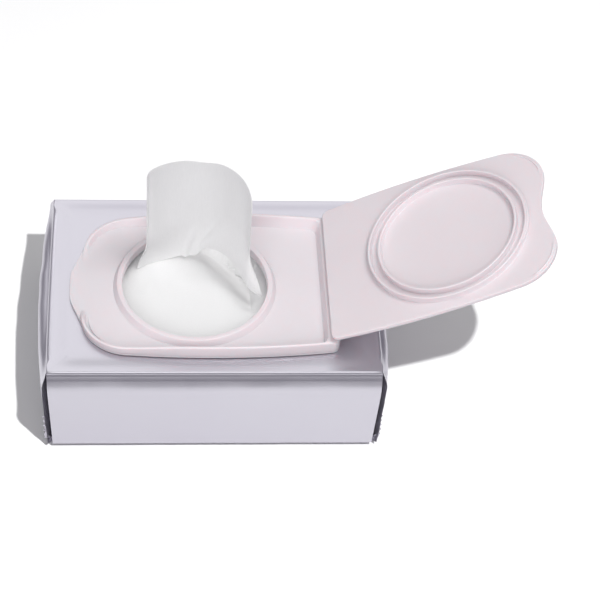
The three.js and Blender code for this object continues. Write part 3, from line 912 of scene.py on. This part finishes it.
def along_curve(points, share):
    """A smooth curve through points, at a share of its length."""
    spans = len(points) - 1
    start = min(spans - 1, int(share * spans))
    t = share * spans - start
    a, b, c, d = [Vector(points[min(spans, max(0, start + k))]) for k in (-1, 0, 1, 2)]
    square = (2 * a - 5 * b + 4 * c - d) * t * t
    cube = (3 * b - a - 3 * c + d) * t ** 3
    return 0.5 * (2 * b + (c - a) * t + square + cube)


hem_points = [(OPENING_RADIUS * u, OPENING_RADIUS * v, STACK_TOP + h) for u, v, h in HEM]
edge_points = [(u, v, PACK_HEIGHT + h) for u, v, h in FREE_EDGE]
bpy.ops.object.select_all(action="DESELECT")
bpy.ops.mesh.primitive_grid_add(x_subdivisions=WIPE_ACROSS, y_subdivisions=WIPE_UP, size=2.0)
wipe = bpy.context.object
wipe.name = "pulled_wipe_sheet"
for vert in wipe.data.vertices:
    across = vert.co.x / 2 + 0.5
    rise = vert.co.y / 2 + 0.5
    low = along_curve(hem_points, across)
    high = along_curve(edge_points, across)
    blend = smooth(0.0, 0.4, rise)
    u = low.x + (high.x - low.x) * blend
    v = low.y + (high.y - low.y) * blend
    z = low.z + (high.z - low.z) * rise
    fold = FOLD_SIZE * math.sin(across * 2 * math.pi * FOLD_COUNT + 1.2 * rise)
    fold *= smooth(0.0, 0.25, rise) * (1 - 0.7 * smooth(0.55, 1.0, rise))
    fold -= PLEAT_SIZE * bump(across, 0.40, 0.025) * (1 - smooth(0.02, 0.34, rise))
    vert.co = Vector((LID_X + u, LID_Y + v + fold, z)) * MM
finish_with(wipe, "SOLIDIFY", thickness=0.0004, offset=0.0)
soften(wipe, 60)
dress(wipe, wipe_paint, "pack", "wipes", "pulled_wipe")

# %% [markdown]
# ## Floor and light
# A white floor carries the shadow. Seen by the camera and in gloss it is white; the light that it throws
# back on the pack is that of a pale grey table.

# %% Floor
bpy.ops.object.select_all(action="DESELECT")
bpy.ops.mesh.primitive_plane_add(size=6.0, location=(0.0, 0.0, 0.0))
floor = bpy.context.object
floor.name = "floor"
floor_paint = bpy.data.materials.new("white_studio_floor")
floor_paint.use_nodes = True
floor_paint.node_tree.nodes.clear()
path = add_node(floor_paint, "ShaderNodeLightPath")
seen = path.outputs["Is Camera Ray"]
for ray in ("Is Glossy Ray", "Is Transmission Ray"):
    either = add_node(floor_paint, "ShaderNodeMath", {0: seen, 1: path.outputs[ray]}, operation="MAXIMUM")
    seen = either.outputs["Value"]
white = add_node(floor_paint, "ShaderNodeBsdfDiffuse", {"Color": colour("f8f8f8")})
table = add_node(floor_paint, "ShaderNodeBsdfDiffuse", {"Color": colour("bcbcbe")})
both = add_node(floor_paint, "ShaderNodeMixShader", {"Fac": seen})
link(floor_paint, table.outputs["BSDF"], both.inputs[1])
link(floor_paint, white.outputs["BSDF"], both.inputs[2])
add_node(floor_paint, "ShaderNodeOutputMaterial", {"Surface": both.outputs["Shader"]})
floor.data.materials.append(floor_paint)

# %% [markdown]
# The lid and the wipes stand in soft light from a key panel overhead at the right and a broad panel in
# front. The film has panels of its own to mirror: one behind, one overhead for the line of light along
# the front crease, and a small one at the back left for the end. A small spot lights only the floor, so
# the pack's shadow falls crisp on it.

# %% Lamps
def lit_group(name, *pieces):
    """A collection of the pieces that a lamp lights."""
    group = bpy.data.collections.new(name)
    for piece in pieces:
        group.objects.link(piece)
    return group


lit_mouldings = lit_group("lit_mouldings", lid_frame, lid_flap, stack, wipe)
lit_film = lit_group("lit_film", film)
lit_floor = lit_group("lit_floor", floor)
PANEL_TARGET = Vector((0.0, 0.0, 0.05))


def add_panel(name, lit, place, size, level):
    """A square light panel that faces the target. level is its light on a white card at the target."""
    bpy.ops.object.light_add(type="AREA", location=place)
    panel = bpy.context.object
    panel.name = name
    aim = Vector(place) - PANEL_TARGET
    panel.rotation_euler = aim.to_track_quat("Z", "Y").to_euler()
    panel.data.size = size
    panel.data.energy = level * math.pi * math.pi * aim.length_squared
    panel.light_linking.receiver_collection = lit


add_panel("key_panel", lit_mouldings, place=(0.30, -0.12, 1.0), size=0.40, level=0.43)
add_panel("front_panel", lit_mouldings, place=(-0.20, -0.95, 0.55), size=0.7, level=0.52)
add_panel("back_panel", lit_film, place=(0.05, 0.80, 0.68), size=1.3, level=0.40)
add_panel("top_panel", lit_film, place=(0.0, -0.35, 0.95), size=0.7, level=0.24)
add_panel("back_left_panel", lit_film, place=(-0.60, 0.72, 0.50), size=0.3, level=0.04)
FLOOR_LAMP_PLACE = Vector((0.337, -0.624, 1.345))
FLOOR_LAMP_TARGET = Vector((0.03, 0.07, 0.0))
FLOOR_LIGHT = 0.88
bpy.ops.object.light_add(type="SPOT", location=FLOOR_LAMP_PLACE)
floor_lamp = bpy.context.object
floor_lamp.name = "floor_lamp"
aim = FLOOR_LAMP_PLACE - FLOOR_LAMP_TARGET
floor_lamp.rotation_euler = aim.to_track_quat("Z", "Y").to_euler()
floor_lamp.data.spot_size = math.radians(42)
floor_lamp.data.spot_blend = 0.25
floor_lamp.data.shadow_soft_size = 0.018
floor_lamp.data.energy = FLOOR_LIGHT * 4 * math.pi * math.pi * aim.length_squared
floor_lamp.light_linking.receiver_collection = lit_floor

# %% [markdown]
# The surround is pale overhead and dim, with a touch of violet, low down. The film mirrors that dim part
# in the band just under its front crease.

# %% Surround
world = bpy.data.worlds.new("studio_surround")
bpy.context.scene.world = world
world.use_nodes = True
surround = world.node_tree.nodes["Background"]
sky = add_node(world, "ShaderNodeTexCoord")
towards = add_node(world, "ShaderNodeSeparateXYZ", {0: sky.outputs["Generated"]})
above = add_node(world, "ShaderNodeMapRange", {"Value": towards.outputs["Z"]})
above.interpolation_type = "SMOOTHSTEP"
above.inputs["From Min"].default_value = 0.15
above.inputs["From Max"].default_value = 0.75
shade = add_node(world, "ShaderNodeMix", {"Factor": above.outputs["Result"]}, data_type="RGBA")
shade.inputs["A"].default_value = (0.080, 0.068, 0.110, 1.0)
shade.inputs["B"].default_value = (0.54, 0.54, 0.54, 1.0)
link(world, shade.outputs["Result"], surround.inputs["Color"])
surround.inputs["Strength"].default_value = 1.0
bpy.context.scene.view_settings.view_transform = "Standard"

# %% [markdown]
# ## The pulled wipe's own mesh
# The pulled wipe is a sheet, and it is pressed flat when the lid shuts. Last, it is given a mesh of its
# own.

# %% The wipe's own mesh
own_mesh(wipe)
